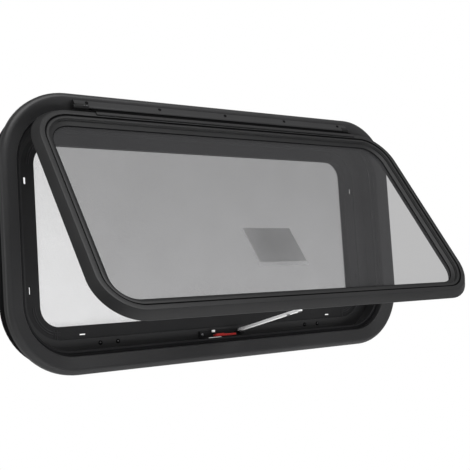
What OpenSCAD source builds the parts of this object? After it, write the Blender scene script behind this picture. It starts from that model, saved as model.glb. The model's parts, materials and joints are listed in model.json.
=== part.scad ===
// Top-hung caravan window: a bent aluminium frame with a wide outside flange, a glazed sash that
// opens outward on a hinge along the top, an insect screen, and a stay arm with a red release lever.
// The outside of the caravan is towards -Y, the room towards +Y, and +Z is up.
// The origin is on the back of the flange's foot, against the wall, at the middle of the bottom rail.

/* [Frame] */
// Overall width across the outside flange
frame_w = 970; // [860:1:1200]
// Overall height across the outside flange
frame_h = 510; // [480:1:560]
// Outer corner radius of the flange
corner_r = 131; // [128:1:160]
// Width of the flange's face, from its outer edge to the recess
flange_face = 33; // [32:0.5:36]
// Depth of the flange, from the wall's skin to its crest
flange_t = 16; // [15:0.5:20]
// Radius of the flange's rounded outer edge
edge_r = 9; // [8:0.5:10]
// Drop of the flange's face from its crest to its rounded inner edge
face_drop = 8; // [7:0.5:9]
// Depth from the flange's crest to the ledge at the back of the recess
ledge_depth = 58; // [57:1:66]
// Wall thickness of the frame's extrusion
skin = 2.4; // [2:0.1:3]
// Width of the ledge, inward from the recess wall
ledge_w = 29; // [27:0.5:31]

/* [Screen] */
// Distance from the flange's outer edge to the screen's opening, at the sides
opening_side = 89; // [84:1:100]
// Distance from the flange's outer edge to the screen's opening, at the top and bottom
opening_end = 86.5; // [82:1:96]
// Corner radius of the screen's opening
opening_r = 38; // [30:1:50]
// Thickness of the clamp ring
ring_t = 3; // [2.5:0.5:4]
// Height of the clamp ring's inner lip, towards the room
lip_h = 14; // [12:1:20]

/* [Sash] */
// How far the sash stands open in the modelled pose, in degrees
open_deg = 33.3; // [33:0.1:34]
// Gap between the recess's walls and the closed sash at the sides
side_gap = 1.7; // [1.5:0.1:3]
// How far the closed sash laps over the flange at the bottom
bottom_lap = 14.7; // [13:0.1:17]
// Gap between the recess and the closed sash at the top
top_gap = 3.5; // [3:0.5:5]
// Corner radius of the sash
sash_r = 84; // [76:1:96]
// Height of the sash's face in front of the hinge axis
face_out = 9; // [8.5:0.5:10]
// Width of the bevel along the sash's outer edge
bevel_w = 11; // [9:0.5:12]
// Width of the sash's frame, from its outer edge to the pane's seat
stile_w = 30; // [29:0.5:32]
// Thickness of the acrylic pane
pane_t = 4; // [3:0.5:4.5]
// Width of the sloping rubber bezel on the pane
bezel_w = 9; // [7:0.5:10]

/* [Hinge] */
// Length of the flange's straight top that the hinge rail leaves free
hinge_free = 16; // [13:1:60]
// Radius of the round bead that the sash turns on
bead_r = 2.6; // [2.4:0.1:2.8]
// Running clearance around the bead
bead_fit = 0.06; // [0.03:0.01:0.09]
// Height of the hinge axis above the top of the recess
axis_up = 6; // [5.5:0.5:6.5]
// Distance of the hinge axis in front of the flange's crest
axis_out = 6; // [5.5:0.5:6.5]

/* [Stay arm] */
// Place of the arm's pivot, to the right of the middle
pivot_x = 45; // [42:1:60]
// Length of the arm from its pivot to its end rivet
arm_len = 235; // [230:1:236]
// Width of the arm
arm_w = 10; // [8:0.5:10.5]
// Thickness of the arm
arm_t = 5; // [3:0.1:5.2]
// Angle that the arm makes with the sill in the modelled pose
arm_deg = 81; // [80:0.5:81.5]
// Lean of the arm's swing, which lifts its end with the sash
arm_lean = 8.8; // [8.6:0.1:9]
// Radius of the pivot pin
pin_r = 3; // [2.5:0.1:3.2]
// Running clearance around the pivot pins
pin_fit = 0.06; // [0.03:0.01:0.09]
// Width of the label on the pane
label_w = 117; // [90:1:140]
// Height of the label on the pane
label_h = 88; // [60:1:110]
// Length of the red release lever from its pin to its tip
lever_len = 46; // [40:1:50]

/* [Hidden] */
$fn = 96;

// Half sizes of the recess inside the flange
recess_x = frame_w / 2 - flange_face;
recess_z = frame_h / 2 - flange_face;
// Middle of the flange's foot, where the origin is
foot_in = flange_face - 6.5;
// Hinge axis: height above the window's middle
axis_z = recess_z + axis_up;
hinge_mid = 4;
hinge_len = frame_w - 2 * corner_r - hinge_free;
// Outline of the sash
sash_w = 2 * (recess_x - side_gap);
sash_h = 2 * recess_z + bottom_lap - top_gap;
sash_mid = -(bottom_lap + top_gap) / 2;
sash_top = axis_up + top_gap;
sash_bottom = sash_top + sash_h;
// Depths of the sash behind its hinge axis
rim_back = -6;
sash_back = -14;
pane_front = -4;
pane_back = pane_front - pane_t;
pane_in = stile_w + 0.3;
// Clamp ring
ring_front = -ledge_depth - skin;
ring_back = ring_front - ring_t;
ring_in = flange_face + ledge_w;
// Socket of the hinge
socket_r = bead_r + 1.6;
// Small gap between pieces that turn past each other
clear = 0.3;

// Slope of the flange's face, a line that touches the rounded outer and inner edges
nose_r = 3;
face_run = flange_face - nose_r - edge_r;
face_fall = face_drop + nose_r - edge_r;
face_reach = sqrt(face_run * face_run + face_fall * face_fall);
face_slope = acos((edge_r - nose_r) / face_reach) - atan(face_fall / face_run);
slope_x = edge_r * (1 + cos(face_slope));
slope_z = edge_r * (sin(face_slope) - 1);
slope_end_x = flange_face - nose_r + nose_r * cos(face_slope);
slope_end_z = -face_drop - nose_r + nose_r * sin(face_slope);
// Height of the flange's face at a distance from its outer edge
function face_at(x) = slope_z + (x - slope_x) * (slope_end_z - slope_z) / (slope_end_x - slope_x);

// The window is drawn flat, with the outside towards +Z, and stood up here
module stand() {
    translate([0, -flange_t, frame_h / 2 - foot_in]) rotate([90, 0, 0]) children();
}

// The sash is drawn closed, with the hinge axis at its origin, and turned open here
module swung() {
    stand() translate([0, axis_z, axis_out]) rotate([-open_deg, 0, 0]) children();
}

// Sweeps a profile (x inward from the outline, y outward) around a rectangle with round corners
module ring(w, h, r) {
    for (k = [0 : 3]) {
        along = (k % 2 == 0) ? w : h;
        across = (k % 2 == 0) ? h : w;
        rotate([0, 0, 90 * k]) {
            translate([-along / 2 + r, -across / 2, 0])
                rotate([90, 0, 90]) linear_extrude(along - 2 * r) children();
            translate([-along / 2 + r, -across / 2 + r, 0])
                rotate([0, 0, 180]) rotate_extrude(angle = 90) translate([r, 0]) mirror([1, 0]) children();
        }
    }
}

module rounded(w, h, r) {
    square([w - 2 * r, h], center = true);
    square([w, h - 2 * r], center = true);
    for (x = [-1, 1], y = [-1, 1]) translate([x * (w / 2 - r), y * (h / 2 - r)]) circle(r);
}

module plate(w, h, r, z0, z1) {
    translate([0, 0, z0]) linear_extrude(z1 - z0) rounded(w, h, r);
}

// Flange, recess wall and ledge, as one bent extrusion
module frame_profile() {
    foot_groove = [7, 12, 8];
    difference() {
        union() {
            translate([edge_r, -edge_r]) circle(edge_r);
            translate([flange_face - nose_r, -face_drop - nose_r]) circle(nose_r);
            polygon([
                [0, -flange_t], [0, -edge_r], [edge_r, -edge_r], [slope_x, slope_z],
                [slope_end_x, slope_end_z], [flange_face - nose_r, -face_drop - nose_r],
                [flange_face, -face_drop - nose_r], [flange_face, -flange_t]
            ]);
        }
        translate([foot_groove[0], -flange_t - 1]) square([foot_groove[1], foot_groove[2]]);
    }
    translate([flange_face - skin, -ledge_depth - skin]) square([skin, ledge_depth + skin - flange_t + 1]);
    translate([flange_face - skin, -ledge_depth - skin]) square([ledge_w + skin, skin]);
}

// Fixing holes in the ledge: their height over the recess wall, and their places from the frame's sides
sill_hole_up = 19;
sill_holes = [frame_w / 2 - 207, frame_w / 2 - 245];

module outer_frame() {
    color("#26272a") stand() difference() {
        ring(frame_w, frame_h, corner_r) frame_profile();
        // Fixing holes in the ledge
        for (s = [-1, 1], x = sill_holes)
            translate([s * x, -recess_z + sill_hole_up, -ledge_depth - skin - 1]) cylinder(r = 2.1, h = skin + 2);
    }
}

// Rubber seal on the recess wall, with a round bulb towards the sash
module recess_seal() {
    bulb_r = 3.2;
    foot = 3;
    foot_h = 11;
    low = 27 - ledge_depth;
    color("#101011") stand() ring(2 * recess_x, 2 * recess_z, corner_r - flange_face) {
        translate([0, low]) square([foot, foot_h]);
        translate([foot - 1, low + 5]) square([4, 4]);
        translate([foot + 0.6 + bulb_r, low + 7]) circle(bulb_r);
    }
}

// Fixed half of the hinge: a leaf on the flange's slope that rises to a round socket,
// with a slot for the neck of the sash's bead
module hinge_rail() {
    outer = slope_x + 0.3;
    inner = slope_end_x - 2;
    lip = 1.4;
    at = flange_face - axis_up;
    color("#1d1e20") stand() translate([hinge_mid - hinge_len / 2, axis_z, axis_out])
        rotate([90, 0, 90]) linear_extrude(hinge_len) difference() {
            union() {
                circle(socket_r);
                polygon([
                    [at - outer, face_at(outer) - axis_out], [at - inner, face_at(inner) - axis_out],
                    [-2, -3], [socket_r * cos(70), socket_r * sin(70)],
                    [at - outer, face_at(outer) - axis_out + lip]
                ]);
            }
            circle(bead_r + bead_fit);
            // Slot between the closed and the open place of the neck
            polygon([[0, 0], [-11.8, -2.1], [-12, 12], [-4.6, 11.1]]);
        }
}

module clamp_profile(reach) {
    translate([12, ring_back]) square([reach - 12, ring_t]);
    translate([reach - 2.5, ring_front - lip_h]) square([2.5, lip_h]);
}

// Straight length of the clamp ring, with the two slots in its inner flange
module clamp_side(len, half, reach, slot_at, turn) {
    rotate([0, 0, turn]) difference() {
        translate([-len / 2, -half, 0]) rotate([90, 0, 90]) linear_extrude(len) clamp_profile(reach);
        if (slot_at > 0) for (s = [-1, 1])
            translate([s * slot_at, -half + ring_in + 8, ring_back - 1]) slot(13, 4.5, ring_t + 2);
    }
}

module slot(l, w, h) {
    linear_extrude(h) {
        square([l - w, w], center = true);
        for (s = [-1, 1]) translate([s * (l - w) / 2, 0]) circle(w / 2);
    }
}

// Length of a moulded corner, and the places of the ring's slots
corner_len = 128;
slots_x = frame_w / 2 - 172;
slots_z = frame_h / 2 - 155;

module clamp_ring_bottom() {
    color("#242528") stand() clamp_side(frame_w - 2 * corner_len, frame_h / 2, opening_end, slots_x, 0);
}

module clamp_ring_top() {
    color("#242528") stand() clamp_side(frame_w - 2 * corner_len, frame_h / 2, opening_end, 0, 180);
}

module clamp_ring_left() {
    color("#242528") stand() clamp_side(frame_h - 2 * corner_len, frame_w / 2, opening_side, slots_z, -90);
}

module clamp_ring_right() {
    color("#242528") stand() clamp_side(frame_h - 2 * corner_len, frame_w / 2, opening_side, slots_z, 90);
}

// Moulded corners of the clamp ring
module clamp_ring_corners() {
    color("#2b2c2f") stand() difference() {
        union() {
            difference() {
                plate(frame_w - 24, frame_h - 24, corner_r - 12, ring_back, ring_front);
                plate(frame_w - 2 * opening_side, frame_h - 2 * opening_end, opening_r, ring_back - 1, ring_front + 1);
            }
            difference() {
                plate(frame_w - 2 * opening_side + 5, frame_h - 2 * opening_end + 5, opening_r + 2.5,
                      ring_front - lip_h, ring_front);
                plate(frame_w - 2 * opening_side, frame_h - 2 * opening_end, opening_r,
                      ring_front - lip_h - 1, ring_front + 1);
            }
        }
        cube([frame_w - 2 * corner_len, frame_h + 2, 400], center = true);
        cube([frame_w + 2, frame_h - 2 * corner_len, 400], center = true);
    }
}

// Insect screen in its own thin frame, seated on the room side of the clamp ring's lip
screen_front = ring_front - lip_h;

module screen_frame() {
    color("#2b2c2f") stand() difference() {
        plate(frame_w - 2 * opening_side + 10, frame_h - 2 * opening_end + 10, opening_r + 5,
              screen_front - 6, screen_front);
        plate(frame_w - 2 * opening_side + 2, frame_h - 2 * opening_end + 2, opening_r + 1,
              screen_front - 7, screen_front + 1);
        plate(frame_w - 2 * opening_side + 7, frame_h - 2 * opening_end + 7, opening_r + 3.5,
              screen_front - 7, screen_front - 3);
    }
}

module screen_mesh() {
    color("#d9dadc") stand()
        plate(frame_w - 2 * opening_side + 6.4, frame_h - 2 * opening_end + 6.4, opening_r + 3.2,
              screen_front - 3.6, screen_front - 3);
}

// Stay arm: the pivot on the sill and the arm's swing
post_z = -recess_z + 21;
post_out = 15 - ledge_depth;
lug_t = 3;
// Operator's shelf, and the vertical pin of the release lever
shelf_z = post_z - 13;
shelf_t = 3;
lever_z = shelf_z + shelf_t + 0.6;
lever_t = 4;
lever_x = pivot_x - 65;
lever_out = post_out + 3;
lever_pin_r = 2.5;
base_front = -ledge_depth + 5;
base_h = 15;
base_side = 14;
base_left = 31;

// The arm's pivot, leaning so that the swinging end rises with the sash
module at_pivot() {
    stand() translate([pivot_x, post_z, post_out]) rotate([-arm_lean, 0, 0]) children();
}

// The arm's own line from its pivot, in the modelled pose
module along_arm() {
    at_pivot() rotate([0, arm_deg - 180, 0]) children();
}

// Foot plate on the ledge, a shelf under the lever, the lever's pin and the arm's lug
module operator_base() {
    left = lever_x - base_left;
    right = pivot_x + base_side;
    color("#18191b") {
        stand() {
            translate([left, shelf_z, -ledge_depth]) cube([right - left, base_h, base_front + ledge_depth]);
            translate([left, shelf_z, base_front - 1]) cube([lever_len + base_left + 4, shelf_t, 20]);
            translate([lever_x, lever_z - 1, lever_out]) rotate([-90, 0, 0]) cylinder(r = lever_pin_r, h = lever_t + 0.8);
        }
        at_pivot() difference() {
            translate([-8, -arm_t / 2 - clear - lug_t, -11]) cube([16, lug_t, 19]);
            rotate([90, 0, 0]) cylinder(r = pin_r + 0.02, h = 40, center = true);
        }
    }
}

// Pin with a head on each side of the arm and the lug
module pivot_pin() {
    color("#8f9194") at_pivot() rotate([90, 0, 0]) {
        translate([0, 0, -arm_t / 2 - 0.6]) cylinder(r = pin_r, h = arm_t + lug_t + 1.2);
        translate([0, 0, -arm_t / 2 - 1.8]) cylinder(r = pin_r + 2, h = 1.5);
    }
}

// White edge strip of the shelf, and the white catch behind the lever
module release_plate() {
    front = base_front + 19;
    color("#e3e4e6") stand() {
        translate([lever_x - 24, shelf_z - 0.4, front]) cube([31, 3.4, 1.6]);
        translate([lever_x - 2, shelf_z + base_h - 3, base_front]) cube([7, 4.5, 3]);
    }
}

// Red lever: a hub on its pin, a paddle along the shelf and an upright finger tab
module release_lever() {
    hub_r = 6.5;
    color("#b3261e") stand() translate([lever_x, lever_z, lever_out]) {
        rotate([-90, 0, 0]) difference() {
            linear_extrude(lever_t) {
                circle(hub_r);
                polygon([[0, -hub_r], [0, hub_r - 1], [lever_len - 18, hub_r - 3], [lever_len, -3], [lever_len, -7]]);
            }
            translate([0, 0, -1]) cylinder(r = lever_pin_r + pin_fit, h = lever_t + 2);
        }
        translate([hub_r + 1, lever_t - 1, 4]) cube([9, 2.4, 2.4]);
    }
}

// Flat bar with round ends from one pivot to the other
module bar(l, w, t) {
    rotate([90, 0, 0]) translate([0, 0, -t / 2]) linear_extrude(t) {
        translate([0, -w / 2]) square([l, w]);
        circle(w / 2);
        translate([l, 0]) circle(w / 2);
    }
}

module stay_arm() {
    color("#c9cacc") along_arm() difference() {
        bar(arm_len, arm_w, arm_t);
        rotate([90, 0, 0]) cylinder(r = pin_r + pin_fit, h = 40, center = true);
        translate([arm_len, 0, 0]) rotate([90, 0, 0]) cylinder(r = 2.02, h = 40, center = true);
    }
}

// Rivet in the arm's end, where the sash's bracket takes hold
module arm_rivet() {
    color("#9b9da0") along_arm() translate([arm_len, 0, 0]) rotate([90, 0, 0]) {
        cylinder(r = 2, h = arm_t + 1.4, center = true);
        for (s = [-1, 1]) translate([0, 0, s * (arm_t / 2 + 0.75)]) cylinder(r = 3.4, h = 1.3, center = true);
    }
}

// Profile of the sash: x inward from its outer edge, y outward from the hinge axis
module sash_profile() {
    groove = 2;
    rib = 3;
    face_w = stile_w - groove - rib - bevel_w;
    groove_x = bevel_w + face_w;
    hook_w = 8;
    polygon([
        [0, rim_back], [0, rim_back + 1.5], [bevel_w, face_out], [groove_x, face_out],
        [groove_x, face_out - 6], [groove_x + groove, face_out - 6], [groove_x + groove, face_out - 4.5],
        [stile_w, face_out - 4.5], [stile_w, sash_back], [stile_w - hook_w, sash_back],
        [stile_w - hook_w, rim_back]
    ]);
}

module sash_ring() {
    translate([0, sash_mid - axis_z, 0]) ring(sash_w, sash_h, sash_r) children();
}

module sash_frame() {
    color("#2b2c2f") swung() sash_ring() sash_profile();
}

// Moving half of the hinge: bead, neck and the bar on the bevel of the sash's top rail
module hinge_bar() {
    short = 32;
    bar_h = 2.4;
    bar_w = 4.6;
    edge = [-sash_top, rim_back + 1.5];
    crest = [-sash_top - bevel_w, face_out];
    color("#303135") swung() translate([hinge_mid - hinge_len / 2 + short, 0, 0])
        rotate([90, 0, 90]) linear_extrude(hinge_len - short) {
            circle(bead_r);
            polygon([[-0.2, 0.8], [0, -0.8], [edge[0], 0.9], [edge[0], 2.6]]);
            polygon([
                edge, [edge[0] + 1, edge[1]], [edge[0] + 1, 3.2], [crest[0] + 5, crest[1] + bar_h - 0.8],
                [crest[0] + 4, crest[1] + bar_h], [crest[0] - bar_w + 1, crest[1] + bar_h],
                [crest[0] - bar_w, crest[1] + bar_h - 1], [crest[0] - bar_w, crest[1]], crest
            ]);
        }
}

module pane() {
    color("#3a3c40", 0.45) swung() translate([0, sash_mid - axis_z, 0])
        plate(sash_w - 2 * pane_in, sash_h - 2 * pane_in, sash_r - pane_in, pane_back, pane_front);
}

// Sloping rubber bezel between the pane's face and the sash
module outer_gasket() {
    high = 5;
    low = 1;
    color("#151516") swung() sash_ring() translate([stile_w, pane_front])
        polygon([[0, 0], [0, high], [bezel_w, low], [bezel_w, 0]]);
}

// Glazing bead behind the pane
module inner_bead() {
    color("#1b1c1e") swung() sash_ring() translate([stile_w, sash_back]) square([6, pane_back - sash_back]);
}

// The arm's end in the modelled pose, as a distance below and behind the hinge axis in the sash's own plane
end_down = axis_z - post_z - arm_len * sin(arm_deg) * sin(arm_lean);
end_fore = post_out - axis_out + arm_len * sin(arm_deg) * cos(arm_lean);
end_u = end_down * cos(open_deg) + end_fore * sin(open_deg);
end_n = end_fore * cos(open_deg) - end_down * sin(open_deg);

// Bracket on the back of the sash's bottom rail, which reaches over the arm's end
module stay_bracket() {
    mid = pivot_x - arm_len * cos(arm_deg);
    wide = 16;
    foot = 3;
    over = 5.2;
    short = 5.6;
    leg_u = end_u - over;
    leg_len = sash_back - end_n - short;
    foot_u = sash_bottom - stile_w + 7;
    color("#1d1e20") swung() translate([mid - wide / 2, 0, 0]) {
        translate([0, -foot_u, sash_back - foot]) cube([wide, foot_u - leg_u + foot, foot]);
        translate([0, -leg_u, sash_back - leg_len]) cube([wide, foot, leg_len - foot + 1]);
    }
}

// Bare label on the room side of the pane
module escape_label() {
    film = 0.4;
    up = 99;
    left = 90;
    color("#6d6e71") swung() translate([-left, up - sash_bottom, pane_back - film]) cube([label_w, label_h, film]);
}

outer_frame();
recess_seal();
hinge_rail();
clamp_ring_top();
clamp_ring_bottom();
clamp_ring_left();
clamp_ring_right();
clamp_ring_corners();
screen_frame();
screen_mesh();
operator_base();
pivot_pin();
release_plate();
release_lever();
stay_arm();
arm_rivet();
sash_frame();
hinge_bar();
pane();
outer_gasket();
inner_bead();
stay_bracket();
escape_label();
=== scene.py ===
"""Looks for a top-hung caravan window: finishes for its solids, the woven screen, screws and trims."""

import json
import math

import bmesh
import bpy
from mathutils import Matrix, Vector


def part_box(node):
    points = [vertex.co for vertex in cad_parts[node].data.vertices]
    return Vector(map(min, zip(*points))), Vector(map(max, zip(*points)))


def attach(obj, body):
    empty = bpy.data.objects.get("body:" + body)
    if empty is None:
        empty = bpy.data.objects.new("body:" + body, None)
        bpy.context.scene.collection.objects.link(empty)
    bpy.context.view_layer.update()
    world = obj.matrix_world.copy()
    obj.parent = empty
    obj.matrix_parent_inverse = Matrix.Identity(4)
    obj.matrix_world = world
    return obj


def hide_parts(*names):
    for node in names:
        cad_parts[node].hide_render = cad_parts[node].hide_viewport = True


bl_info = {
    "name": "Caravan window",
    "version": (1, 0, 0),
    "blender": (4, 2, 0),
    "location": "3D View > Sidebar > Window",
    "description": "Builds the visible pieces and finishes of a top-hung caravan window",
    "category": "Object",
}


def corners(box):
    """Lowest and highest corner of a box as vectors"""
    return tuple(Vector(corner) for corner in box)


def shifted(x, y, z):
    """Matrix of a shift"""
    return Matrix.Translation((x, y, z))


def tipped(degrees):
    """Matrix of a turn about x"""
    return Matrix.Rotation(math.radians(degrees), 4, "X")


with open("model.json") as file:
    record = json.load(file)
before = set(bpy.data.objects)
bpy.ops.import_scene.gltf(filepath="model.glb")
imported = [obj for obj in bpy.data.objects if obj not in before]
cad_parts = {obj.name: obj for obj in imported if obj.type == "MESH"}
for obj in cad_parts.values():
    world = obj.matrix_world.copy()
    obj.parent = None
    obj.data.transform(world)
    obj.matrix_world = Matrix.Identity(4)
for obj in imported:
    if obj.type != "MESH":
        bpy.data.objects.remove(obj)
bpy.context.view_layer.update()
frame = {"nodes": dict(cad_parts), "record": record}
JOINTS = {joint["name"]: joint for joint in frame["record"]["behaviour"]["joints"]}
MOUNTS = {mount["name"]: mount for mount in frame["record"]["mounts"]}
FRAME_LOW, FRAME_HIGH = corners(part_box("outer_frame"))
MESH_LOW, MESH_HIGH = corners(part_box("screen_mesh"))
RAIL_LOW, RAIL_HIGH = corners(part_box("hinge_rail"))
SASH_LOW, SASH_HIGH = corners(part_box("sash_frame"))
HINGE_AT = Vector(JOINTS["sash_hinge"]["pos_m"])
OPEN_DEG = -JOINTS["sash_hinge"]["range_deg"][0]

MESH_HALF_W = (MESH_HIGH.x - MESH_LOW.x) / 2
MESH_HALF_H = (MESH_HIGH.z - MESH_LOW.z) / 2
MESH_MID_Y = (MESH_HIGH.y + MESH_LOW.y) / 2
MESH_MID_Z = (MESH_HIGH.z + MESH_LOW.z) / 2

# Crest of the flange, and the hinge rail's leaf: its height and distance from the flange's middle and crest
CREST_Y = -0.016
LEAF_UP = 0.2375
LEAF_OUT = 0.0041
LEAF_SLOPE = 36

# Drawn coordinates are x to the right, y up and z outward. STAND starts from the middle of the flange's crest,
# AXLE from the hinge axis, and SWING from the hinge axis and turned open with the sash
STAND = shifted(0, CREST_Y, (FRAME_LOW.z + FRAME_HIGH.z) / 2) @ tipped(90)
AXLE = Matrix.Translation(HINGE_AT) @ tipped(90)
SWING = Matrix.Translation(HINGE_AT) @ tipped(90 - OPEN_DEG)
ACROSS = Matrix.Rotation(math.radians(90), 4, "Y")

# A pan head with a round recess, as distances from its axis and above its foot in parts of its radius
SCREW_OUTLINE = (
    (0.0, 0.22), (0.34, 0.22), (0.42, 0.52), (0.62, 0.50), (0.86, 0.34), (0.98, 0.16), (1.0, 0.0), (0.0, 0.0),
)

# Camera of the photograph, in metres and radians, with its focal length in pixels of the picture's width
CAMERA_AT = (-1.1336, -1.4739, 0.0878)
CAMERA_YAW = 0.6666
CAMERA_PITCH = 0.07185
CAMERA_ROLL = -0.06335
FOCAL_PIXELS = 911.5
PICTURE_PIXELS = 470
SENSOR_WIDTH = 36.0

FLOOR_RADIUS = 2.3
FLOOR_Z = -0.95
# Strength of the backdrop's light on the window, where the camera sees it as white
BACKDROP_GLOW = 0.32

# Name, place, target, size, watts, and whether gloss mirrors the light
LIGHTS = (
    ("top_light", (-0.5, -1.8, 2.6), (0, 0, 0.2), (4.0, 2.0), 122, True),
    ("low_light", (0.4, -1.8, -0.85), (0.1, 0, 0.1), (2.8, 1.2), 72, False),
    ("right_light", (2.9, -0.9, 0.0), (0.4, 0, 0.2), (1.6, 1.6), 15, False),
    ("left_light", (-3.0, 0.4, 0.1), (-0.45, 0, 0.2), (1.0, 2.0), 18, True),
)


class WindowSizes(bpy.types.PropertyGroup):
    """Sizes of the pieces that the scene adds"""

    strand_pitch: bpy.props.FloatProperty(
        name="Strand pitch", description="Distance between the strands of the insect screen",
        default=0.0016, unit="LENGTH",
    )
    strand_width: bpy.props.FloatProperty(
        name="Strand width", description="Thickness of one strand of the insect screen",
        default=0.00030, unit="LENGTH",
    )
    screen_corner: bpy.props.FloatProperty(
        name="Screen corner", description="Corner radius of the insect screen",
        default=0.0412, unit="LENGTH",
    )
    screw_pitch: bpy.props.FloatProperty(
        name="Screw pitch", description="Distance between the screws in the hinge rail",
        default=0.160, unit="LENGTH",
    )
    screw_radius: bpy.props.FloatProperty(
        name="Screw radius", description="Radius of a screw's head", default=0.0034, unit="LENGTH",
    )
    sash_top: bpy.props.FloatProperty(
        name="Sash top", description="Distance from the hinge axis down to the sash's top edge",
        default=0.0095, unit="LENGTH",
    )
    sash_height: bpy.props.FloatProperty(
        name="Sash height", description="Height of the sash's frame", default=0.4552, unit="LENGTH",
    )
    sash_corner: bpy.props.FloatProperty(
        name="Sash corner", description="Corner radius of the sash's frame", default=0.084, unit="LENGTH",
    )
    bar_short: bpy.props.FloatProperty(
        name="Bar setback", description="How far the bar on the sash starts in from the hinge rail's left end",
        default=0.032, unit="LENGTH",
    )
    end_block: bpy.props.FloatProperty(
        name="End block", description="Length of the block on the hinge rail's end",
        default=0.027, unit="LENGTH",
    )
    ridge_out: bpy.props.FloatProperty(
        name="Ridge distance", description="Distance of the corner ridges from the screen's edge",
        default=0.0065, unit="LENGTH",
    )
    slot_clear: bpy.props.FloatProperty(
        name="Slot opening", description="Width left open between a slot's liners",
        default=0.0022, unit="LENGTH",
    )
    grip_height: bpy.props.FloatProperty(
        name="Grip height", description="Height of the lever's grip", default=0.0058, unit="LENGTH",
    )
    seam_in: bpy.props.FloatProperty(
        name="Seam place", description="Distance of a corner's seam from the screen's side",
        default=0.034, unit="LENGTH",
    )
    seam_length: bpy.props.FloatProperty(
        name="Seam length", description="Length of a corner's seam", default=0.019, unit="LENGTH",
    )
    strip_height: bpy.props.FloatProperty(
        name="Strip height", description="Height of the white strip's front", default=0.0034, unit="LENGTH",
    )
    label_border: bpy.props.FloatProperty(
        name="Label border", description="Width of the printed border on the bare label",
        default=0.004, unit="LENGTH",
    )


class WindowColours(bpy.types.PropertyGroup):
    """Colours of the window's finishes"""

    coat: bpy.props.FloatVectorProperty(
        name="Powder coat", description="Colour of the coated aluminium", subtype="COLOR",
        default=(0.014, 0.014, 0.0145), min=0, max=1,
    )
    rubber: bpy.props.FloatVectorProperty(
        name="Rubber", description="Colour of the seals", subtype="COLOR",
        default=(0.003, 0.003, 0.0033), min=0, max=1,
    )
    plastic: bpy.props.FloatVectorProperty(
        name="Black plastic", description="Colour of the moulded trims", subtype="COLOR",
        default=(0.009, 0.009, 0.0095), min=0, max=1,
    )
    strand: bpy.props.FloatVectorProperty(
        name="Screen strand", description="Colour of the woven screen", subtype="COLOR",
        default=(0.36, 0.36, 0.37), min=0, max=1,
    )
    silver: bpy.props.FloatVectorProperty(
        name="Anodised silver", description="Colour of the stay arm", subtype="COLOR",
        default=(0.95, 0.95, 0.955), min=0, max=1,
    )
    steel: bpy.props.FloatVectorProperty(
        name="Steel", description="Colour of the screws and pins", subtype="COLOR",
        default=(0.30, 0.30, 0.31), min=0, max=1,
    )
    red: bpy.props.FloatVectorProperty(
        name="Lever red", description="Colour of the release lever", subtype="COLOR",
        default=(0.30, 0.016, 0.014), min=0, max=1,
    )
    white: bpy.props.FloatVectorProperty(
        name="Strip white", description="Colour of the strip and catch", subtype="COLOR",
        default=(0.92, 0.92, 0.91), min=0, max=1,
    )
    tint: bpy.props.FloatVectorProperty(
        name="Pane tint", description="Colour of the tinted pane", subtype="COLOR",
        default=(0.05, 0.05, 0.052), min=0, max=1,
    )
    label: bpy.props.FloatVectorProperty(
        name="Label", description="Colour of the bare label", subtype="COLOR",
        default=(0.56, 0.56, 0.565), min=0, max=1,
    )


class Finish:
    """A procedural material, built socket by socket"""

    noise_low = 0.3
    noise_high = 0.7

    def __init__(self, name):
        self.material = bpy.data.materials.new(name)
        self.material.use_nodes = True
        self.nodes = self.material.node_tree.nodes
        self.links = self.material.node_tree.links
        self.shader = self.nodes["Principled BSDF"]
        self.coordinates = self.nodes.new("ShaderNodeTexCoord")

    def put(self, **values):
        """Sets constants on the shader's own sockets"""
        for name, value in values.items():
            self.shader.inputs[name.replace("_", " ")].default_value = value

    def noise(self, scale, detail=3.0, stretch=(1, 1, 1)):
        """Soft noise in object coordinates"""
        mapping = self.nodes.new("ShaderNodeMapping")
        mapping.inputs["Scale"].default_value = stretch
        texture = self.nodes.new("ShaderNodeTexNoise")
        texture.inputs["Scale"].default_value = scale
        texture.inputs["Detail"].default_value = detail
        texture.inputs["Roughness"].default_value = 0.5
        self.links.new(self.coordinates.outputs["Object"], mapping.inputs["Vector"])
        self.links.new(mapping.outputs["Vector"], texture.inputs["Vector"])
        return texture.outputs["Fac"]

    def ranged(self, source, low, high):
        """Turns the middle of a noise into a range of values"""
        node = self.nodes.new("ShaderNodeMapRange")
        node.inputs["From Min"].default_value = self.noise_low
        node.inputs["From Max"].default_value = self.noise_high
        node.inputs["To Min"].default_value = low
        node.inputs["To Max"].default_value = high
        self.links.new(source, node.inputs["Value"])
        return node.outputs["Result"]

    def mixed(self, source, first, second):
        """Blends two colours by the middle of a noise"""
        ramp = self.nodes.new("ShaderNodeValToRGB")
        ramp.color_ramp.elements[0].position = self.noise_low
        ramp.color_ramp.elements[1].position = self.noise_high
        ramp.color_ramp.elements[0].color = (*first, 1)
        ramp.color_ramp.elements[1].color = (*second, 1)
        self.links.new(source, ramp.inputs["Fac"])
        return ramp.outputs["Color"]

    def bump(self, source, strength, distance):
        """Lifts the surface a little by a noise"""
        node = self.nodes.new("ShaderNodeBump")
        node.inputs["Strength"].default_value = strength
        node.inputs["Distance"].default_value = distance
        self.links.new(source, node.inputs["Height"])
        self.links.new(node.outputs["Normal"], self.shader.inputs["Normal"])

    def feed(self, socket, source):
        """Links a node's output to a socket of the shader"""
        self.links.new(source, self.shader.inputs[socket])


def shade(colour, factor):
    """A colour made lighter or darker"""
    return tuple(min(1.0, c * factor) for c in colour)


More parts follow.
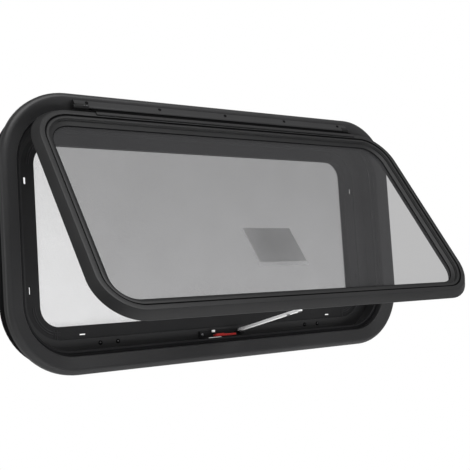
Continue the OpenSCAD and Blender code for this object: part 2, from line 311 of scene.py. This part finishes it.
def powder_coat(name, colour, rough=0.42):
    """Satin powder coat: fine orange peel, with faint cloudiness in tone and gloss"""
    finish = Finish(name)
    clouds = finish.noise(7, 4)
    finish.feed("Base Color", finish.mixed(clouds, shade(colour, 0.9), shade(colour, 1.12)))
    finish.feed("Roughness", finish.ranged(clouds, rough - 0.04, rough + 0.05))
    finish.bump(finish.noise(850, 2), 0.03, 0.0002)
    finish.put(Specular_IOR_Level=0.3)
    return finish.material


def moulded(name, colour, rough=0.55, grain=1400, gloss=0.25):
    """Moulded plastic or rubber with a fine grain"""
    finish = Finish(name)
    clouds = finish.noise(12, 3)
    finish.feed("Base Color", finish.mixed(clouds, shade(colour, 0.88), shade(colour, 1.14)))
    finish.feed("Roughness", finish.ranged(clouds, rough - 0.05, rough + 0.06))
    finish.bump(finish.noise(grain, 2), 0.01, 0.0001)
    finish.put(Specular_IOR_Level=gloss)
    return finish.material


def brushed(name, colour, rough=0.32, stretch=(1, 1, 1), metal=1.0):
    """Metal with drawn lines along its length"""
    finish = Finish(name)
    lines = finish.noise(900, 3, stretch)
    finish.feed("Base Color", finish.mixed(lines, shade(colour, 0.92), shade(colour, 1.06)))
    finish.feed("Roughness", finish.ranged(lines, rough - 0.06, rough + 0.08))
    finish.bump(lines, 0.1, 0.0001)
    finish.put(Metallic=metal)
    return finish.material


def tinted_pane(name, colour):
    """Grey tinted acrylic: half clear, glossy, with faint ripples"""
    finish = Finish(name)
    waves = finish.noise(9, 2)
    finish.feed("Base Color", finish.mixed(waves, shade(colour, 0.95), shade(colour, 1.05)))
    finish.feed("Roughness", finish.ranged(waves, 0.03, 0.06))
    finish.put(Alpha=0.335, IOR=1.49, Specular_IOR_Level=0.5)
    finish.material.surface_render_method = "BLENDED"
    return finish.material


def assign(obj, material):
    """Gives a solid one finish all over"""
    obj.data.materials.clear()
    obj.data.materials.append(material)
    for face in obj.data.polygons:
        face.material_index = 0


def piece(name, bm, material, body, smooth_angle=35.0):
    """Makes a finished object from a bmesh in the row's own coordinates"""
    mesh = bpy.data.meshes.new(name)
    bm.to_mesh(mesh)
    bm.free()
    obj = bpy.data.objects.new(name, mesh)
    bpy.context.scene.collection.objects.link(obj)
    obj.data.materials.append(material)
    mesh.shade_smooth()
    mesh.set_sharp_from_angle(angle=math.radians(smooth_angle))
    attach(obj, body)
    return obj


def rounded(points, radius, steps=3):
    """Rounds the corners of a closed profile with short arcs"""
    result = []
    count = len(points)
    for i in range(count):
        here = Vector(points[i])
        before = Vector(points[i - 1]) - here
        after = Vector(points[(i + 1) % count]) - here
        reach = min(radius, before.length * 0.45, after.length * 0.45)
        start = here + before.normalized() * reach
        end = here + after.normalized() * reach
        for k in range(steps + 1):
            t = k / steps
            result.append(start * (1 - t) ** 2 + here * 2 * t * (1 - t) + end * t ** 2)
    return result


def sweep_ring(profile, width, height, radius, arc_steps=24):
    """Sweeps a closed profile (x inward, y outward) round a rectangle with round corners"""
    bm = bmesh.new()
    start = Vector((-width / 2 + radius, -height / 2, 0))
    verts = [bm.verts.new(start + Vector((0, p[0], p[1]))) for p in profile]
    for i, vert in enumerate(verts):
        bm.edges.new((vert, verts[(i + 1) % len(verts)]))
    edges = list(bm.edges)
    centres = [
        (width / 2 - radius, -height / 2 + radius), (width / 2 - radius, height / 2 - radius),
        (-width / 2 + radius, height / 2 - radius), (-width / 2 + radius, -height / 2 + radius),
    ]
    runs = [
        (width - 2 * radius, 0), (0, height - 2 * radius), (2 * radius - width, 0), (0, 2 * radius - height),
    ]
    for run, centre in zip(runs, centres):
        made = bmesh.ops.extrude_edge_only(bm, edges=edges)["geom"]
        edges = [item for item in made if isinstance(item, bmesh.types.BMEdge)]
        moved = [item for item in made if isinstance(item, bmesh.types.BMVert)]
        bmesh.ops.translate(bm, verts=moved, vec=(*run, 0))
        turned = bmesh.ops.spin(
            bm, geom=edges + moved, cent=(*centre, 0), axis=(0, 0, 1), dvec=(0, 0, 0),
            angle=math.radians(90), steps=arc_steps,
        )["geom_last"]
        edges = [item for item in turned if isinstance(item, bmesh.types.BMEdge)]
    bmesh.ops.remove_doubles(bm, verts=bm.verts, dist=1e-6)
    bmesh.ops.recalc_face_normals(bm, faces=bm.faces)
    return bm


def extrude_run(profile, start, end):
    """Extrudes a closed profile (up, outward) along x, with its ends closed"""
    bm = bmesh.new()
    verts = [bm.verts.new((start, p[0], p[1])) for p in profile]
    face = bm.faces.new(verts)
    made = bmesh.ops.extrude_face_region(bm, geom=[face])["geom"]
    moved = [item for item in made if isinstance(item, bmesh.types.BMVert)]
    bmesh.ops.translate(bm, verts=moved, vec=(end - start, 0, 0))
    bmesh.ops.recalc_face_normals(bm, faces=bm.faces)
    return bm


def placed(bm, matrix):
    """Moves a shape to its place"""
    bmesh.ops.transform(bm, verts=bm.verts, matrix=matrix)
    bmesh.ops.recalc_face_normals(bm, faces=bm.faces)
    return bm


def closed(bm):
    """Closes poles and seams and turns every face outwards"""
    bmesh.ops.remove_doubles(bm, verts=bm.verts, dist=1e-6)
    bmesh.ops.recalc_face_normals(bm, faces=bm.faces)
    return bm


def millimetres(points):
    """Points of a profile in metres, from millimetres"""
    return [(x / 1000, y / 1000) for x, y in points]


def box_into(bm, low, high, matrix=Matrix()):
    """Adds a box between two corners"""
    low, high = Vector(low), Vector(high)
    place = matrix @ Matrix.Translation((low + high) / 2) @ Matrix.Diagonal((*(high - low), 1))
    bmesh.ops.create_cube(bm, size=1.0, matrix=place)


def rod_into(bm, middle_x, length, radius, segments):
    """Adds a round rod along x, on the hinge axis"""
    bmesh.ops.create_cone(
        bm, cap_ends=True, segments=segments, radius1=radius, radius2=radius, depth=length,
        matrix=shifted(middle_x, 0, 0) @ ACROSS,
    )


def screw_into(bm, matrix, radius):
    """Adds a screw's head, its foot on the plane of the matrix"""
    verts = [bm.verts.new(matrix @ Vector((r * radius, 0, h * radius))) for r, h in SCREW_OUTLINE]
    edges = [bm.edges.new(pair) for pair in zip(verts, verts[1:])]
    bmesh.ops.spin(
        bm, geom=verts + edges, cent=matrix.translation, axis=matrix.col[2].to_3d(), dvec=(0, 0, 0),
        angle=math.radians(360), steps=20, use_merge=True,
    )


def bevel_all(bm, offset):
    """Softens every edge that turns by more than 30 degrees"""
    edges = [edge for edge in bm.edges if edge.is_manifold and edge.calc_face_angle() > math.radians(30)]
    bmesh.ops.bevel(bm, geom=edges, offset=offset, segments=2, profile=0.5, affect="EDGES", material=-1)
    bmesh.ops.recalc_face_normals(bm, faces=bm.faces)


def settings():
    """Sizes and colours that the user may change"""
    scene = bpy.context.scene
    return scene.window_sizes, scene.window_colours


def screen_strands():
    """Woven insect screen: straight strands each way, cut to the screen's rounded outline"""
    sizes, colours = settings()
    corner, pitch, wide = sizes.screen_corner, sizes.strand_pitch, sizes.strand_width
    bm = bmesh.new()

    def reach(at, half_along, half_across):
        """Half the length of the strand at this distance from the middle"""
        inset = abs(at) - (half_across - corner)
        if inset <= 0:
            return half_along
        return half_along - corner + math.sqrt(max(0.0, corner ** 2 - inset ** 2))

    # Upright strands lie in front of the level ones
    for i in range(1, int(2 * MESH_HALF_W / pitch)):
        x = -MESH_HALF_W + i * pitch
        z = reach(x, MESH_HALF_H, MESH_HALF_W)
        low = (x - wide / 2, MESH_MID_Y - wide, MESH_MID_Z - z)
        box_into(bm, low, (x + wide / 2, MESH_MID_Y, MESH_MID_Z + z))
    for i in range(1, int(2 * MESH_HALF_H / pitch)):
        z = -MESH_HALF_H + i * pitch
        x = reach(z, MESH_HALF_W, MESH_HALF_H)
        low = (-x, MESH_MID_Y, MESH_MID_Z + z - wide / 2)
        box_into(bm, low, (x, MESH_MID_Y + wide, MESH_MID_Z + z + wide / 2))
    strands = piece("screen_strands", bm, moulded("screen_strand", colours.strand, 0.6), "frame")
    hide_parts("screen_mesh")


def screen_spline():
    """Round rubber cord that holds the screen in its frame"""
    sizes, colours = settings()
    wide, tall = 0.0024, 0.0022
    profile = rounded([(0, 0), (0, tall), (wide, tall), (wide, 0)], 0.0010, 4)
    bm = sweep_ring(profile, 2 * MESH_HALF_W, 2 * MESH_HALF_H, sizes.screen_corner)
    placed(bm, shifted(0, MESH_HIGH.y + 0.0023, MESH_MID_Z) @ tipped(90))
    piece("screen_spline", bm, moulded("spline_rubber", colours.rubber, 0.6), "frame")


def around_sash(profile):
    """Sweeps a profile round the sash: x inward from its outer edge, y outward from the hinge axis"""
    sizes, _ = settings()
    middle = shifted(0, -sizes.sash_top - sizes.sash_height / 2, 0)
    bm = sweep_ring(profile, SASH_HIGH.x - SASH_LOW.x, sizes.sash_height, sizes.sash_corner, 32)
    return placed(bm, SWING @ middle)


def sash_profiles():
    """Sash with softened edges, and dark lines in its groove and at the bezel's inner edge: near-black strips
    that paint the shade there
    """
    _, colours = settings()
    section = millimetres([
        (0, -6), (0, -4.5), (11, 9), (20.2, 9), (20.8, 5.6), (22.8, 5.6), (23.4, 7.2), (28.6, 7.2), (29.2, 4),
        (30, 4), (30, -14), (22, -14), (22, -6),
    ])
    # Near-black strips in the groove and along the bezel's inner edge, where the sash lies in shade: painted
    # shade
    groove_shade_outline = millimetres([(20.4, 5.2), (20.4, 8.2), (20.9, 6.0), (22.8, 6.0), (23.2, 7.0), (23.2, 5.2)])
    edge_shade_outline = millimetres([(38.2, -4.4), (38.2, -2.4), (39.2, -2.8), (39.2, -4.4)])
    # Darker copy of the frame's powder coat (0.75 of its colour) on the sash: painted shade
    coat = powder_coat("coat_sash_frame", shade(colours.coat, 0.75), 0.44)
    sash = piece("sash_profile", around_sash(rounded(section, 0.0009)), coat, "sash", 50)
    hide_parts("sash_frame")
    # Near-black finish of both strips: painted shade
    line = moulded("painted_shade_strip", shade(colours.rubber, 0.9), 0.9, gloss=0.08)
    piece("groove_shade", around_sash(groove_shade_outline), line, "sash")
    piece("bezel_edge_shade", around_sash(edge_shade_outline), line, "sash")


def hinge_bar_pieces():
    """Bar over the sash's top rail, its bead and neck in the socket, and the dark lines beside the bar; all
    but the bar are near-black as painted shadow of the hinge's groove
    """
    sizes, colours = settings()
    start, end = RAIL_LOW.x + sizes.bar_short, RAIL_HIGH.x
    bar = millimetres([
        (-9.5, -4.4), (-8.6, -4.4), (-8.6, 3.0), (-19.6, 10.2), (-20.6, 11.4), (-26.0, 11.4), (-27.0, 10.4),
        (-27.0, 8.9), (-20.5, 8.9),
    ])
    # Strip on the bar's slope and the line past its edge: near-black painted shadow of the gap under the
    # socket and beside the bar
    slope_shadow_outline = millimetres([(-8.7, 2.9), (-8.2, 3.5), (-19.6, 11.1), (-20.1, 10.5)])
    line = millimetres([(-26.9, 8.8), (-26.9, 9.35), (-28.1, 9.35), (-28.1, 8.8)])
    # Darker copy of the powder coat (0.85 of its colour) on the bar: painted shade
    coat = powder_coat("coat_hinge_bar", shade(colours.coat, 0.85), 0.4)
    # Near-black finish of the bead, the slope strip and the line: painted shadow in the hinge's groove
    dark = moulded("hinge_shadow_dark", shade(colours.rubber, 0.4), 0.95, gloss=0.05)

    def along_bar(profile):
        return placed(extrude_run(profile, start, end), SWING)

    cover = piece("hinge_cover", along_bar(rounded(bar, 0.0007)), coat, "sash", 50)
    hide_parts("hinge_bar")
    piece("hinge_slope_shadow", along_bar(slope_shadow_outline), dark, "sash")
    bead_radius, neck_drop, neck_half = 0.0026, 0.0088, 0.0008
    bead = bmesh.new()
    rod_into(bead, (start + end) / 2, end - start, bead_radius, 32)
    box_into(bead, (start, -neck_drop, -neck_half), (end, 0, neck_half), tipped(-10))
    piece("hinge_bead", placed(bead, SWING), dark, "sash", 40)
    piece("hinge_line", along_bar(line), dark, "sash")


def hinge_ends():
    """End blocks of the hinge rail, two pins in the left one, and round caps on the hinge's ends"""
    sizes, colours = settings()
    block = millimetres([(6.3, 0.4), (6.7, 1.0), (2.0, 4.8), (-2.6, 4.4), (-4.9, 1.6), (-4.9, -1.2), (-2, -3)])
    past_end, right_share = 0.001, 0.6
    for name, low, high in (
        ("hinge_end_left", RAIL_LOW.x - past_end, RAIL_LOW.x + sizes.end_block),
        ("hinge_end_right", RAIL_HIGH.x - right_share * sizes.end_block, RAIL_HIGH.x + past_end),
    ):
        bm = placed(extrude_run(rounded(block, 0.0006, 2), low, high), AXLE)
        piece(name, bm, moulded(name + "_plastic", shade(colours.plastic, 0.6), 0.6), "frame")
    bm = bmesh.new()
    for along in (0.018, 0.0235):
        screw_into(bm, AXLE @ shifted(RAIL_LOW.x + along, 0.0026, 0.0044) @ tipped(-LEAF_SLOPE), 0.0020)
    piece("hinge_end_pins", closed(bm), brushed("pin_dull", shade(colours.steel, 0.35), 0.4), "frame")
    bm = bmesh.new()
    cap_length, cap_gap, cap_radius = 0.0032, 0.0003, 0.0046
    for x in (RAIL_LOW.x - cap_gap - cap_length / 2, RAIL_HIGH.x + cap_gap + cap_length / 2):
        rod_into(bm, x, cap_length, cap_radius, 24)
    bevel_all(bm, 0.0006)
    satin = moulded("cap_plastic", colours.plastic, 0.45)
    piece("hinge_caps", placed(bm, AXLE), satin, "frame")


def hinge_screws():
    """Five screws in the hinge rail's leaf"""
    sizes, colours = settings()
    bm = bmesh.new()
    middle = (RAIL_LOW.x + RAIL_HIGH.x) / 2
    for k in range(-2, 3):
        spot = STAND @ shifted(middle + k * sizes.screw_pitch, LEAF_UP, LEAF_OUT)
        screw_into(bm, spot @ tipped(-LEAF_SLOPE), sizes.screw_radius)
    black = moulded("screw_black", colours.rubber, 0.7, gloss=0.1)
    piece("hinge_screws", closed(bm), black, "frame")


def arm_details():
    """Rivet at four fifths of the arm, with a head on each side"""
    _, colours = settings()
    low, high = corners(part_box("stay_arm"))
    swing = JOINTS["arm_swing"]
    pivot, axis = Vector(swing["pos_m"]), Vector(swing["axis"]).normalized()
    tip = Vector((low.x, low.y, high.z)) - pivot
    along = (tip - axis * tip.dot(axis)).normalized()
    place = Matrix((along, axis.cross(along), axis)).transposed().to_4x4()
    rivet_along, half_thick, radius = 0.200, 0.0025, 0.0036
    place.translation = pivot + along * rivet_along
    bm = bmesh.new()
    screw_into(bm, place @ shifted(0, 0, half_thick), radius)
    screw_into(bm, place @ shifted(0, 0, -half_thick) @ tipped(180), radius)
    piece("arm_joint_rivet", closed(bm), brushed("rivet_dark", shade(colours.steel, 0.5), 0.4), "arm")


def lever_grip():
    """Rounded grip on the lever's free half"""
    sizes, colours = settings()
    low, high = corners(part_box("release_lever"))
    free_share, deep = 0.45, 0.005
    end = low.x + free_share * (high.x - low.x)
    bm = bmesh.new()
    box_into(bm, low + Vector((0.002, 0.0006, 0.0004)), (end, low.y + deep, low.z + sizes.grip_height))
    bevel_all(bm, 0.0018)
    piece("lever_grip", bm, moulded("grip_red", colours.red, 0.35), "lever")


def strip_front():
    """Front of the white strip along the shelf"""
    sizes, colours = settings()
    low, high = corners(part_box("release_plate"))
    proud, sunk = 0.0012, 0.0006
    foot = low.z - 0.0006
    bm = bmesh.new()
    box_into(bm, (low.x, low.y - proud, foot), (high.x, low.y + sunk, foot + sizes.strip_height))
    bevel_all(bm, 0.0004)
    piece("strip_front", bm, moulded("strip_face", colours.white, 0.35), "frame")


def operator_screws():
    """Screws of the operator's foot plate"""
    _, colours = settings()
    low, high = corners(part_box("operator_base"))
    plate_front, up, radius = high.y - 0.005, low.z + 0.0085, 0.0030
    bm = bmesh.new()
    for x in (low.x + 0.006, high.x - 0.0025):
        screw_into(bm, shifted(x, plate_front, up) @ tipped(90), radius)
    piece("operator_screws", closed(bm), brushed("screw_steel", colours.steel, 0.3), "frame")


def corner_ridges():
    """Moulded lines on the clamp ring's corners: two arcs and two short seams on each, in a lighter copy of
    the ring's plastic as painted highlight
    """
    sizes, colours = settings()
    front = min(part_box("clamp_ring_left")[0][1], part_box("clamp_ring_bottom")[0][1])
    tall, wide, sunk = 0.0010, 0.0012, 0.0002
    arc_gap, seam_gap, seam_half, seam_past = 0.0042, 0.0052, 0.0005, 0.002
    section = [(0, sunk), (0, -tall), (wide, -tall), (wide, sunk)]
    bm = bmesh.new()
    for side in (-1, 1):
        for level in (-1, 1):
            centre = Vector((
                side * (MESH_HALF_W - sizes.screen_corner), front,
                MESH_MID_Z + level * (MESH_HALF_H - sizes.screen_corner),
            ))
            for gap in (0, arc_gap):
                start = centre + Vector((side * (sizes.screen_corner + sizes.ridge_out + gap), 0, 0))
                verts = [bm.verts.new(start + Vector((side * a, b, 0))) for a, b in section]
                edges = [bm.edges.new((verts[i - 1], verts[i])) for i in range(len(verts))]
                bmesh.ops.spin(
                    bm, geom=verts + edges, cent=centre, axis=(0, 1, 0), dvec=(0, 0, 0),
                    angle=math.radians(-90 * side * level), steps=12,
                )
            edge = centre.z + level * (sizes.screen_corner + seam_past)
            foot, top = sorted((edge, edge + level * sizes.seam_length))
            for gap in (0, seam_gap):
                seam = side * (MESH_HALF_W - sizes.seam_in) - gap
                box_into(bm, (seam - seam_half, front - tall, foot), (seam + seam_half, front + sunk, top))
    bmesh.ops.holes_fill(bm, edges=[edge for edge in bm.edges if edge.is_boundary], sides=4)
    # Lighter copy of the ring's black plastic (2.6 of its colour): painted highlight along the lines
    lit_plastic = moulded("ridge_highlight_plastic", shade(colours.plastic, 2.6), 0.5)
    piece("corner_ridges", closed(bm), lit_plastic, "frame")


def slot_liners():
    """Liners along both sides of the clamp ring's slots, which leave a narrow opening"""
    sizes, colours = settings()
    long, wide, clear, deep = 0.0063, 0.0022, sizes.slot_clear / 2, 0.0012
    low_slots = MOUNTS["ring_slots_bottom"]
    side_slots = {-1: MOUNTS["ring_slots_left"], 1: MOUNTS["ring_slots_right"]}
    half_drop = side_slots[-1]["dims"]["spacing_y_mm"] / 2000
    bm = bmesh.new()
    for side in (-1, 1):
        level = Vector(low_slots["pos_m"])
        level.x = side * low_slots["dims"]["spacing_x_mm"] / 2000
        upright = Vector(side_slots[side]["pos_m"]) - Vector((0, 0, half_drop))
        for way in (-1, 1):
            near, far = sorted((way * clear, way * wide))
            box_into(bm, level + Vector((-long, -deep, near)), level + Vector((long, deep, far)))
            box_into(bm, upright + Vector((near, -deep, -long)), upright + Vector((far, deep, long)))
    bevel_all(bm, 0.0002)
    piece("slot_liners", bm, moulded("liner_plastic", colours.plastic, 0.6), "frame")


def sill_screws():
    """Dark washers in the holes of the sill, each with the end of its screw"""
    sizes, colours = settings()
    washer_share, end_share, end_proud = 1.35, 0.42, 0.0018
    washers, ends = bmesh.new(), bmesh.new()
    for mount in (MOUNTS["sill_holes_outer"], MOUNTS["sill_holes_inner"]):
        middle, half = Vector(mount["pos_m"]), mount["dims"]["spacing_x_mm"] / 2000
        for x in (middle.x - half, middle.x + half):
            place = shifted(x, middle.y, middle.z) @ tipped(90)
            screw_into(washers, place, washer_share * sizes.screw_radius)
            screw_into(ends, place @ shifted(0, 0, end_proud), end_share * sizes.screw_radius)
    black = moulded("washer_black", shade(colours.rubber, 0.5), 0.9, gloss=0.05)
    piece("sill_washers", closed(washers), black, "frame")
    piece("sill_screws", closed(ends), brushed("sill_screw_steel", colours.steel, 0.3), "frame")


def label_print():
    """Printed border of the bare label, seen through the pane"""
    sizes, colours = settings()
    low, high = corners(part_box("escape_label"))
    margin, half_height, thick, corner = 0.003, 0.044, 0.0001, 0.004
    middle_down, pane_back = -0.322, -0.0086
    section = [(0, 0), (sizes.label_border, 0), (sizes.label_border, thick), (0, thick)]
    bm = sweep_ring(section, high.x - low.x - 2 * margin, 2 * (half_height - margin), corner, 6)
    placed(bm, SWING @ shifted((low.x + high.x) / 2, middle_down, pane_back))
    piece("label_print", bm, moulded("label_ink", shade(colours.label, 0.6), 0.6), "sash")


def finish_solids():
    """Gives each solid of the window its finish"""
    _, colours = settings()
    # Lighter copies of one powder coat, 1.3 of its colour for the frame and 1.1 for the sash's solids: painted
    # light
    coat = powder_coat("coat_frame", shade(colours.coat, 1.3))
    sash_coat = powder_coat("coat_sash", shade(colours.coat, 1.1), 0.38)
    plastic = moulded("trim_plastic", shade(colours.plastic, 1.2), 0.5)
    chosen = {
        "outer_frame": coat, "hinge_rail": coat,
        "sash_frame": sash_coat, "hinge_bar": sash_coat, "stay_bracket": sash_coat,
        "clamp_ring_top": plastic, "clamp_ring_bottom": plastic, "clamp_ring_left": plastic,
        "clamp_ring_right": plastic, "clamp_ring_corners": plastic,
        "screen_frame": plastic, "operator_base": plastic,
        "recess_seal": moulded("recess_rubber", shade(colours.rubber, 2.2), 0.6, 1100, 0.22),
        "outer_gasket": moulded("bezel_rubber", shade(colours.coat, 0.8), 0.5, 1100),
        "inner_bead": moulded("seal_rubber", colours.rubber, 0.6, 1100),
        "screen_mesh": moulded("screen_sheet", colours.strand),
        "pivot_pin": brushed("pin_steel", colours.steel),
        "arm_rivet": brushed("rivet_steel", colours.steel),
        "release_plate": moulded("strip_white", colours.white, 0.4),
        "release_lever": moulded("lever_red", colours.red, 0.35),
        "stay_arm": brushed("arm_silver", colours.silver, 0.36, (1, 0.06, 1), 0.1),
        "pane": tinted_pane("pane_acrylic", colours.tint),
        "escape_label": moulded("label_film", colours.label, 0.5),
    }
    for name, material in chosen.items():
        assign(frame["nodes"][name], material)


def stage_floor():
    """Round pale floor below the window"""
    bm = bmesh.new()
    bmesh.ops.create_circle(bm, cap_ends=True, segments=96, radius=FLOOR_RADIUS)
    bmesh.ops.translate(bm, verts=bm.verts, vec=(0, 0, FLOOR_Z))
    mesh = bpy.data.meshes.new("studio_floor")
    bm.to_mesh(mesh)
    bm.free()
    floor = bpy.data.objects.new("studio_floor", mesh)
    bpy.context.scene.collection.objects.link(floor)
    finish = Finish("pale_floor")
    finish.feed("Base Color", finish.mixed(finish.noise(0.6, 2), (0.90, 0.90, 0.90), (0.93, 0.93, 0.93)))
    finish.put(Roughness=0.9)
    floor.data.materials.append(finish.material)


def stage_world():
    """White backdrop that lights the window softly"""
    world = bpy.data.worlds.new("studio_world")
    world.use_nodes = True
    nodes, links = world.node_tree.nodes, world.node_tree.links
    backdrop = nodes["Background"]
    backdrop.inputs["Color"].default_value = (1, 1, 1, 1)
    rays = nodes.new("ShaderNodeLightPath")
    level = nodes.new("ShaderNodeMapRange")
    level.inputs["To Min"].default_value = BACKDROP_GLOW
    level.inputs["To Max"].default_value = 1.0
    links.new(rays.outputs["Is Camera Ray"], level.inputs["Value"])
    links.new(level.outputs["Result"], backdrop.inputs["Strength"])
    bpy.context.scene.world = world


def stage_lights():
    """Soft lights round the window"""
    for name, place, target, size, power, mirrored in LIGHTS:
        data = bpy.data.lights.new(name, "AREA")
        data.shape = "RECTANGLE"
        data.size, data.size_y = size
        data.energy = power
        lamp = bpy.data.objects.new(name, data)
        lamp.location = place
        lamp.rotation_euler = (Vector(target) - Vector(place)).to_track_quat("-Z", "Y").to_euler()
        lamp.visible_glossy = mirrored
        bpy.context.scene.collection.objects.link(lamp)


def stage_camera():
    """Camera at the photograph's angle: yaw to the right of +Y, pitch up and roll"""
    data = bpy.data.cameras.new("photo_camera")
    data.sensor_width = SENSOR_WIDTH
    data.lens = FOCAL_PIXELS / PICTURE_PIXELS * SENSOR_WIDTH
    data.clip_start = 0.01
    camera = bpy.data.objects.new("photo_camera", data)
    bpy.context.scene.collection.objects.link(camera)
    level = Vector((math.cos(CAMERA_YAW), -math.sin(CAMERA_YAW), 0))
    forward = Vector((
        math.sin(CAMERA_YAW) * math.cos(CAMERA_PITCH), math.cos(CAMERA_YAW) * math.cos(CAMERA_PITCH),
        math.sin(CAMERA_PITCH),
    ))
    upright = level.cross(forward)
    right = level * math.cos(CAMERA_ROLL) + upright * math.sin(CAMERA_ROLL)
    up = upright * math.cos(CAMERA_ROLL) - level * math.sin(CAMERA_ROLL)
    matrix = Matrix((right, up, -forward)).transposed().to_4x4()
    matrix.translation = CAMERA_AT
    camera.matrix_world = matrix
    bpy.context.scene.camera = camera


class WINDOW_OT_screen(bpy.types.Operator):
    """Adds the woven insect screen and its cord"""

    bl_idname = "window.screen"
    bl_label = "Insect screen"

    def execute(self, context):
        screen_strands()
        screen_spline()
        return {"FINISHED"}


class WINDOW_OT_sash(bpy.types.Operator):
    """Adds the softened sash profile and the near-black strips of painted shade in its groove and at the
    bezel's edge
    """

    bl_idname = "window.sash"
    bl_label = "Sash profile"

    def execute(self, context):
        sash_profiles()
        return {"FINISHED"}


class WINDOW_OT_hinge(bpy.types.Operator):
    """Adds the hinge's cover, bead, dark lines, end blocks, caps and screws"""

    bl_idname = "window.hinge"
    bl_label = "Hinge"

    def execute(self, context):
        hinge_bar_pieces()
        hinge_ends()
        hinge_screws()
        return {"FINISHED"}


class WINDOW_OT_stay(bpy.types.Operator):
    """Adds the arm's rivet, the lever's grip, the white strip's front and the operator's screws"""

    bl_idname = "window.stay"
    bl_label = "Stay arm and operator"

    def execute(self, context):
        arm_details()
        lever_grip()
        strip_front()
        operator_screws()
        return {"FINISHED"}


class WINDOW_OT_trims(bpy.types.Operator):
    """Adds the clamp ring's corner lines and slot liners, and the sill's screws"""

    bl_idname = "window.trims"
    bl_label = "Clamp ring trims"

    def execute(self, context):
        corner_ridges()
        slot_liners()
        sill_screws()
        return {"FINISHED"}


class WINDOW_OT_label(bpy.types.Operator):
    """Adds the border of the bare label"""

    bl_idname = "window.label"
    bl_label = "Label border"

    def execute(self, context):
        label_print()
        return {"FINISHED"}


class WINDOW_OT_finishes(bpy.types.Operator):
    """Gives every solid its finish"""

    bl_idname = "window.finishes"
    bl_label = "Finishes"

    def execute(self, context):
        finish_solids()
        return {"FINISHED"}


class WINDOW_OT_stage(bpy.types.Operator):
    """Adds the floor, the backdrop, the lights and the camera"""

    bl_idname = "window.stage"
    bl_label = "Stage"

    def execute(self, context):
        stage_floor()
        stage_world()
        stage_lights()
        stage_camera()
        context.scene.view_settings.view_transform = "Standard"
        return {"FINISHED"}


class WINDOW_PT_panel(bpy.types.Panel):
    """Sizes, colours and steps of the window"""

    bl_idname = "WINDOW_PT_panel"
    bl_label = "Caravan window"
    bl_space_type = "VIEW_3D"
    bl_region_type = "UI"
    bl_category = "Window"

    def draw(self, context):
        for group in (context.scene.window_sizes, context.scene.window_colours):
            for name in group.__annotations__:
                self.layout.prop(group, name)
        for step in STEPS:
            self.layout.operator(step.bl_idname)


STEPS = (
    WINDOW_OT_finishes, WINDOW_OT_screen, WINDOW_OT_sash, WINDOW_OT_hinge, WINDOW_OT_stay, WINDOW_OT_trims,
    WINDOW_OT_label, WINDOW_OT_stage,
)
CLASSES = (WindowSizes, WindowColours, *STEPS, WINDOW_PT_panel)


def register():
    for item in CLASSES:
        bpy.utils.register_class(item)
    bpy.types.Scene.window_sizes = bpy.props.PointerProperty(type=WindowSizes)
    bpy.types.Scene.window_colours = bpy.props.PointerProperty(type=WindowColours)


def unregister():
    del bpy.types.Scene.window_colours
    del bpy.types.Scene.window_sizes
    for item in reversed(CLASSES):
        bpy.utils.unregister_class(item)


def main():
    register()
    bpy.ops.window.finishes()
    bpy.ops.window.screen()
    bpy.ops.window.sash()
    bpy.ops.window.hinge()
    bpy.ops.window.stay()
    bpy.ops.window.trims()
    bpy.ops.window.label()
    bpy.ops.window.stage()


if __name__ == "__main__":
    main()
